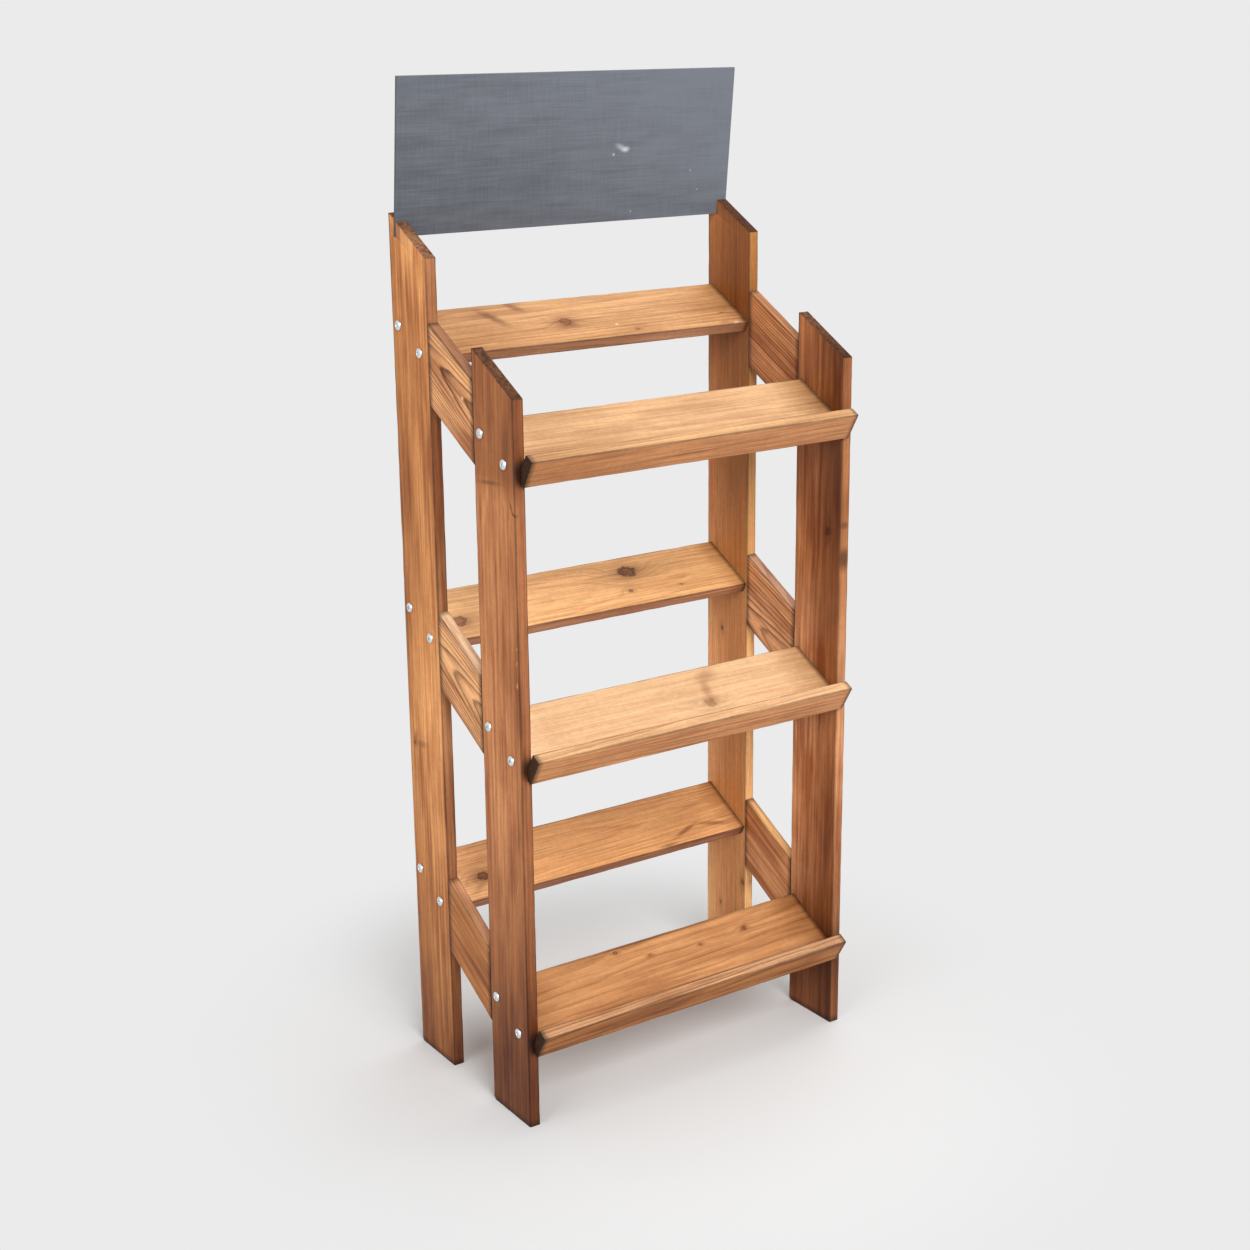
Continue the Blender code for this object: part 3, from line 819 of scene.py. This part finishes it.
def make_upright(side_name, row):
    """A post sawn to the shelves' slope, housed for the lips or slotted for the chalkboard."""
    node = f"{side_name}_{row}_upright"
    low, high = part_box(node)
    length = high.z
    bm = sawn_blank(length, BOARD_WIDTH, BOARD_THICKNESS)
    rear_top = Vector((length / 2, -BOARD_WIDTH / 2, 0))
    saw(bm, rear_top, Vector((cos(SLOPE), sin(SLOPE), 0)))
    rear_foot = Vector((-length / 2 + FOOT_CLIP, -BOARD_WIDTH / 2, 0))
    saw(bm, rear_foot, Vector((-1, -1, 0)).normalized())
    ease_edges(bm)
    look = UPRIGHT_LOOKS[f"{side_name}_{row}"]
    board = finish_board(
        f"{side_name}_{row}_post", bm, look, (low + high) / 2, UPRIGHT_AXES, length,
        BOARD_WIDTH, node, seen=-HALF_THICKNESS,
    )
    cutters = []
    if row == "front":
        for tier in TIERS:
            lip_low, lip_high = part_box(f"{tier}_lip")
            reach = lip_high.x + LIP_END_CLEARANCE
            centre = (lip_low + lip_high) / 2
            centre.x = SIDES[side_name] * (reach - CUT_LENGTH / 2)
            size = (CUT_LENGTH, BOARD_THICKNESS + 2 * LIP_HOUSING_CLEARANCE,
                    LIP_HEIGHT + 2 * LIP_HOUSING_CLEARANCE)
            cutters.append(box_cutter(f"{node}_{tier}_housing", size, centre, SLAT_AXES))
    else:
        board_low, board_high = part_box("chalkboard")
        centre = Vector((
            (low.x + high.x) / 2,
            board_high.y + SLOT_CLEARANCE - SLOT_WIDTH / 2,
            board_low.z - SLOT_CLEARANCE + SLOT_CUT_HEIGHT / 2,
        ))
        size = (CUT_LENGTH, SLOT_WIDTH, SLOT_CUT_HEIGHT)
        cutters.append(box_cutter(f"{node}_slot", size, centre, Matrix.Identity(3)))
    carve(board, cutters)
    even_shading(board)
    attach(board, "stand")


def make_rail(side_name, tier):
    """A sloping rail between the uprights of a side frame, its ends sawn plumb."""
    node = f"{side_name}_{tier}_rail"
    low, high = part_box(node)
    run = high.y - low.y
    bm = sawn_blank(run / cos(SLOPE) + BOARD_WIDTH, BOARD_WIDTH, BOARD_THICKNESS)
    half = run / 2 / cos(SLOPE)
    plumb = Vector((cos(SLOPE), -sin(SLOPE), 0))
    saw(bm, Vector((half, 0, 0)), plumb)
    saw(bm, Vector((-half, 0, 0)), -plumb)
    ease_edges(bm)
    board = finish_board(
        f"{side_name}_{tier}_side_rail", bm, RAIL_LOOKS[f"{side_name}_{tier}"],
        (low + high) / 2, RAIL_AXES, 2 * half, BOARD_WIDTH, node, seen=-HALF_THICKNESS,
        joint=(plumb, run / 2),
    )
    even_shading(board)
    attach(board, "stand")


def make_cross_board(name, node, look, axes, width):
    """A slat or a lip, sawn square at both ends."""
    low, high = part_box(node)
    length = high.x - low.x
    bm = sawn_blank(length, width, BOARD_THICKNESS)
    ease_edges(bm)
    board = finish_board(
        name, bm, look, (low + high) / 2, axes, length, width, node, seen=HALF_THICKNESS,
        joint=(X_AXIS, length / 2),
    )
    even_shading(board)
    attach(board, "stand")


def chalkboard_paint(centre, axes):
    """Chalkboard paint, rolled and then rubbed with chalk many times.

    The eye gets a matt blue-grey with long faint level streaks from the wiping, cloudy chalk
    dust towards the upper right, and one small smudge of chalk.
    """
    material, tree, shader = new_material("chalkboard_paint")
    coordinates, place = board_place(tree, centre, axes)
    parts = add_node(tree, "SeparateXYZ", links={0: place})
    rise = add_node(
        tree, "Math", {"operation": "MULTIPLY_ADD", 1: 1.6},
        {0: parts.outputs["Y"], 2: parts.outputs["X"]},
    )
    paleness = add_node(
        tree, "MapRange",
        {"From Min": -320, "From Max": 320, "To Min": -0.21, "To Max": 0.34},
        {"Value": rise},
    ).outputs[0]
    # Each pattern's size in millimetres, turn in degrees, detail, roughness and share.
    for size, turn, detail, roughness, share in (
        ((50, 1.6, 1.6), 1.5, 5.0, 0.62, 0.50),    # level strokes from the wiping
        ((70, 14, 14), 0.0, 3.0, 0.5, 0.42),       # chalk dust left in broad level wipes
        ((1.8, 30, 30), -2.0, 3.0, 0.6, 0.30),     # fainter strokes up and down
        ((0.8, 0.8, 0.8), 0.0, 3.0, 0.7, 0.25),    # the paint's tooth, drawn coarse to show
    ):
        pattern = stretched_noise(
            tree, place, size, {"Detail": detail, "Roughness": roughness}, turn
        ).outputs[0]
        paleness = add_node(
            tree, "Math", {"operation": "MULTIPLY_ADD", 1: share}, {0: pattern, 2: paleness}
        ).outputs[0]
    tooth = pattern
    paint = add_node(tree, "ValToRGB", links={0: paleness})
    set_stops(paint, ((0.35, linear("#34373D")), (1.0, linear("#5E626A"))))
    colour = paint.outputs[0]
    # The smudge in two dabs, its dot, and three specks: place, half length, half height,
    # angle and strength.
    for mark_x, mark_y, half_length, half_height, angle, strength in (
        (60.5, -1.0, 8.4, 3.4, -25, 0.27),
        (66.0, -3.0, 5.6, 3.2, 5, 0.42),
        (51.3, -7.6, 1.8, 1.5, 0, 0.40),
        (150.0, -28.0, 1.2, 0.9, 0, 0.35),
        (76.0, -66.0, 1.2, 0.9, 0, 0.35),
        (160.0, -48.0, 1.2, 0.9, 0, 0.30),
    ):
        colour = paint_mark(
            tree, colour, "#D9DCE2", place, (mark_x, mark_y, CHALKBOARD_THICKNESS / 2 / MM),
            (half_length, half_height, 3), angle, strength, (1.8, 0.5), tooth,
        )
    tree.links.new(colour, shader.inputs["Base Color"])
    shader.inputs["Roughness"].default_value = 0.72
    bump = add_node(tree, "Bump", {"Strength": 0.25, "Distance": 0.0001}, {"Height": tooth})
    tree.links.new(bump.outputs[0], shader.inputs["Normal"])
    return material


def make_chalkboard():
    """A thin sheet with softened edges."""
    low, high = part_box("chalkboard")
    board_up = Vector((0, -sin(CHALKBOARD_LEAN), cos(CHALKBOARD_LEAN)))
    axes = axes_matrix(X_AXIS, board_up, X_AXIS.cross(board_up))
    centre = (low + high) / 2
    bm = sawn_blank(high.x - low.x, CHALKBOARD_HEIGHT, CHALKBOARD_THICKNESS)
    round_edges(bm, list(bm.edges), CHALKBOARD_EDGE_RADIUS, 3)
    sheet = new_piece("lift_out_chalkboard", bm, centre, axes)
    sheet.data.materials.append(chalkboard_paint(centre, axes))
    even_shading(sheet)
    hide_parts("chalkboard")
    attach(sheet, "board")


def mottled(name, lumps_per_metre, detail, stops):
    """A material with its colour mottled by noise, and that noise."""
    material, tree, shader = new_material(name)
    coordinates = add_node(tree, "TexCoord")
    place = add_node(
        tree, "Mapping", {"Scale": lumps_per_metre}, {"Vector": coordinates.outputs["Object"]}
    )
    mottle = add_node(
        tree, "TexNoise", {"Scale": 1.0, "Detail": detail}, {"Vector": place}
    ).outputs[0]
    tint = add_node(tree, "ValToRGB", links={0: mottle})
    set_stops(tint, stops)
    tree.links.new(tint.outputs[0], shader.inputs["Base Color"])
    return material, shader, mottle


def bright_zinc():
    """Steel with bright zinc plating, rolled and tumbled.

    The eye gets a pale blue-white metal with soft cloudy reflections, in crystal clouds about
    1.5 mm across.
    """
    material, shader, cloud = mottled(
        "bright_zinc_plating", (650, 650, 650), 3.0,
        ((0.3, linear("#C9D3DA")), (0.7, linear("#EAF2F6"))),
    )
    tree = material.node_tree
    dull = add_node(tree, "MapRange", {"To Min": 0.22, "To Max": 0.42}, {"Value": cloud})
    tree.links.new(dull.outputs[0], shader.inputs["Roughness"])
    shader.inputs["Metallic"].default_value = 1.0
    return material


def beech():
    """Pressed beech, as joining biscuits are stamped from.

    The eye gets pale wood with darker flecks about 2 mm long and 0.4 mm wide, up and down.
    """
    material, shader, _ = mottled(
        "pressed_beech", (2500, 2500, 500), 2.0,
        ((0.35, linear("#A87F58")), (0.62, linear("#D2AC82"))),
    )
    shader.inputs["Roughness"].default_value = 0.7
    return material


# A 5 mm pan-head screw with a cross recess that narrows towards its foot.
HEAD_RADIUS = 0.005
HEAD_HEIGHT = 0.0026
HEAD_RIM = 0.0008
HEAD_CHAMFER = 0.0002
DOME_STEPS = 8
DOME_FULLNESS = 0.8
TURNING_STEPS = 32
SHANK_RADIUS = 0.0025
SHANK_SHOWN = 0.008
RECESS_SPAN = 0.0046
RECESS_ARM = 0.0011
RECESS_DEPTH = 0.0017
RECESS_FOOT = (0.6, 0.7)
RECESS_TURN = 0.3


def pan_head():
    """A pan-head screw's head and the start of its shank, its underside at x = 0."""
    bm = bmesh.new()
    outline = [
        (-SHANK_SHOWN, 0.0), (-SHANK_SHOWN, SHANK_RADIUS), (0.0, SHANK_RADIUS),
        (0.0, HEAD_RADIUS - HEAD_CHAMFER), (HEAD_CHAMFER, HEAD_RADIUS), (HEAD_RIM, HEAD_RADIUS),
    ]
    for step in range(1, DOME_STEPS):
        angle = pi / 2 * step / DOME_STEPS
        outline.append((
            HEAD_RIM + (HEAD_HEIGHT - HEAD_RIM) * sin(angle),
            HEAD_RADIUS * cos(angle) ** DOME_FULLNESS,
        ))
    outline.append((HEAD_HEIGHT, 0.0))
    points = [bm.verts.new((x, r, 0)) for x, r in outline]
    profile = [bm.edges.new(pair) for pair in zip(points, points[1:])]
    bmesh.ops.spin(
        bm, geom=[*points, *profile], axis=(1, 0, 0), cent=(0, 0, 0), angle=2 * pi,
        steps=TURNING_STEPS, use_merge=True,
    )
    bmesh.ops.remove_doubles(bm, verts=bm.verts, dist=1e-6)
    bmesh.ops.recalc_face_normals(bm, faces=bm.faces)
    head = new_piece("pan_head", bm)
    carve(head, [
        box_cutter(
            f"recess_{arm}", (2 * RECESS_DEPTH, RECESS_SPAN, RECESS_ARM), (HEAD_HEIGHT, 0, 0),
            Matrix.Rotation(arm * pi / 2 + RECESS_TURN, 3, "X"), RECESS_FOOT,
        )
        for arm in (0, 1)
    ])
    finished = head.data
    bpy.data.objects.remove(head)
    return finished


def make_screws():
    head = pan_head()
    zinc = bright_zinc()
    for tier, row, side_name, end in product(TIERS, ROWS, SIDES, ROWS):
        node = f"{tier}_{row}_slat_{side_name}_{end}_screw"
        low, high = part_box(node)
        middle = (low + high) / 2
        side = SIDES[side_name]
        outer = high.x if side > 0 else low.x
        seat = Vector((outer - side * HEAD_HEIGHT, middle.y, middle.z))
        # Each screw stopped at an angle of its own.
        twist = 68 * seat.y + 13 * seat.z
        turn = Euler((twist, 0, 0 if side > 0 else pi), "XYZ").to_matrix()
        mesh = head.copy()
        mesh.name = f"{node}_head"
        mesh.transform(Matrix.Translation(seat) @ turn.to_4x4())
        screw = bpy.data.objects.new(f"{node}_head", mesh)
        bpy.context.scene.collection.objects.link(screw)
        mesh.materials.clear()
        mesh.materials.append(zinc)
        mesh.shade_smooth()
        mesh.set_sharp_from_angle(angle=radians(40))
        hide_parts(node)
        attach(screw, "stand")


def make_stand():
    for side_name in SIDES:
        for row in ROWS:
            make_upright(side_name, row)
        for tier in TIERS:
            make_rail(side_name, tier)
    for tier in TIERS:
        for row in ROWS:
            make_cross_board(
                f"{tier}_{row}_shelf_board", f"{tier}_{row}_slat", SLAT_LOOKS[f"{tier}_{row}"],
                SLAT_AXES, SLAT_WIDTH,
            )
        make_cross_board(
            f"{tier}_shelf_lip", f"{tier}_lip", LIP_LOOKS[tier], LIP_AXES, LIP_HEIGHT
        )
    make_screws()
    hidden_wood = beech()
    for name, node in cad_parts.items():
        if name.endswith("_biscuit"):
            node.data.materials.clear()
            node.data.materials.append(hidden_wood)


# Solved from the photograph: its turn to the side, its view down and its roll.
CAMERA_PLACE = (-1.07667, -1.51799, 0.99604)
CAMERA_TURN = radians(-30.686)
CAMERA_RISE = radians(15.319)
CAMERA_ROLL = radians(-1.734)


def make_camera():
    """The photograph's viewpoint: about 1 m up, from the front left."""
    level = Vector((cos(CAMERA_TURN), sin(CAMERA_TURN), 0))
    back = Vector((
        sin(CAMERA_TURN) * cos(CAMERA_RISE), -cos(CAMERA_TURN) * cos(CAMERA_RISE),
        sin(CAMERA_RISE),
    ))
    upright = back.cross(level)
    right = level * cos(CAMERA_ROLL) + upright * sin(CAMERA_ROLL)
    up = upright * cos(CAMERA_ROLL) - level * sin(CAMERA_ROLL)
    lens = bpy.data.cameras.new("photograph")
    lens.sensor_width = 36.0
    lens.lens = 54.30
    lens.shift_x = 0.1126
    lens.shift_y = -0.01614
    camera = bpy.data.objects.new("photograph", lens)
    camera.matrix_world = (
        Matrix.Translation(CAMERA_PLACE) @ axes_matrix(right, up, back).to_4x4()
    )
    bpy.context.scene.collection.objects.link(camera)
    bpy.context.scene.camera = camera


BACKDROP = "#EBEBEB"
FLOOR_RADIUS = 30.0
# Metres from the middle of the stand at which the floor runs into the backdrop.
FLOOR_FADES = (0.2, 0.55)
WORLD_LIGHT = 0.42


def backdrop_rays(tree):
    """1 for rays that see the backdrop as it is: from the camera, metal or glass."""
    paths = add_node(tree, "LightPath")
    direct = add_node(
        tree, "Math", {"operation": "MAXIMUM"},
        {0: paths.outputs["Is Camera Ray"], 1: paths.outputs["Is Glossy Ray"]},
    )
    return add_node(
        tree, "Math", {"operation": "MAXIMUM"},
        {0: direct, 1: paths.outputs["Is Transmission Ray"]},
    ).outputs[0]


def make_floor():
    """A pale studio floor that runs into the backdrop's colour away from the stand."""
    bm = bmesh.new()
    bmesh.ops.create_circle(bm, cap_ends=True, segments=64, radius=FLOOR_RADIUS)
    floor = new_piece("studio_floor", bm)
    material, tree, shader = new_material("studio_floor_paper")
    tree.nodes.remove(shader)
    coordinates = add_node(tree, "TexCoord")
    distance = add_node(
        tree, "VectorMath", {"operation": "LENGTH"}, {0: coordinates.outputs["Object"]}
    )
    away = add_node(
        tree, "MapRange",
        {"interpolation_type": "SMOOTHSTEP", "From Min": FLOOR_FADES[0],
         "From Max": FLOOR_FADES[1]},
        {"Value": distance.outputs["Value"]},
    )
    share = add_node(tree, "Math", {"operation": "MULTIPLY"}, {0: away, 1: backdrop_rays(tree)})
    paper = add_node(tree, "BsdfDiffuse", {"Color": linear("#D4D4D4")})
    backdrop = add_node(tree, "Emission", {"Color": linear(BACKDROP), "Strength": 1.0})
    mixed = add_node(tree, "MixShader", links={0: share, 1: paper, 2: backdrop})
    tree.links.new(mixed.outputs[0], tree.nodes["Material Output"].inputs["Surface"])
    floor.data.materials.append(material)


def make_world():
    """Soft light from all round; the camera and reflections see the pale backdrop."""
    world = bpy.data.worlds.new("studio")
    bpy.context.scene.world = world
    world.use_nodes = True
    tree = world.node_tree
    soft = tree.nodes["Background"]
    soft.inputs["Color"].default_value = (1, 1, 1, 1)
    soft.inputs["Strength"].default_value = WORLD_LIGHT
    backdrop = add_node(tree, "Background", {"Color": linear(BACKDROP), "Strength": 1.0})
    mixed = add_node(tree, "MixShader", links={0: backdrop_rays(tree), 1: soft, 2: backdrop})
    tree.links.new(mixed.outputs[0], tree.nodes["World Output"].inputs["Surface"])


def add_softbox(name, place, aim, size, power):
    light = bpy.data.lights.new(name, "AREA")
    light.shape = "SQUARE"
    light.size = size
    light.energy = power
    lamp = bpy.data.objects.new(name, light)
    lamp.location = place
    lamp.rotation_euler = (Vector(aim) - Vector(place)).to_track_quat("-Z", "Y").to_euler()
    bpy.context.scene.collection.objects.link(lamp)


make_stand()
make_chalkboard()
make_camera()
make_floor()
make_world()
add_softbox("key_softbox", place=(-0.7, -2.9, 2.4), aim=(0, 0, 0.4), size=1.8, power=134)
add_softbox("overhead_softbox", place=(1.3, 0.3, 3.2), aim=(0, 0, 0.5), size=2.0, power=32)
add_softbox("left_softbox", place=(-3.2, -1.0, 1.3), aim=(0, 0, 0.4), size=2.0, power=50)
bpy.context.scene.view_settings.view_transform = "Standard"
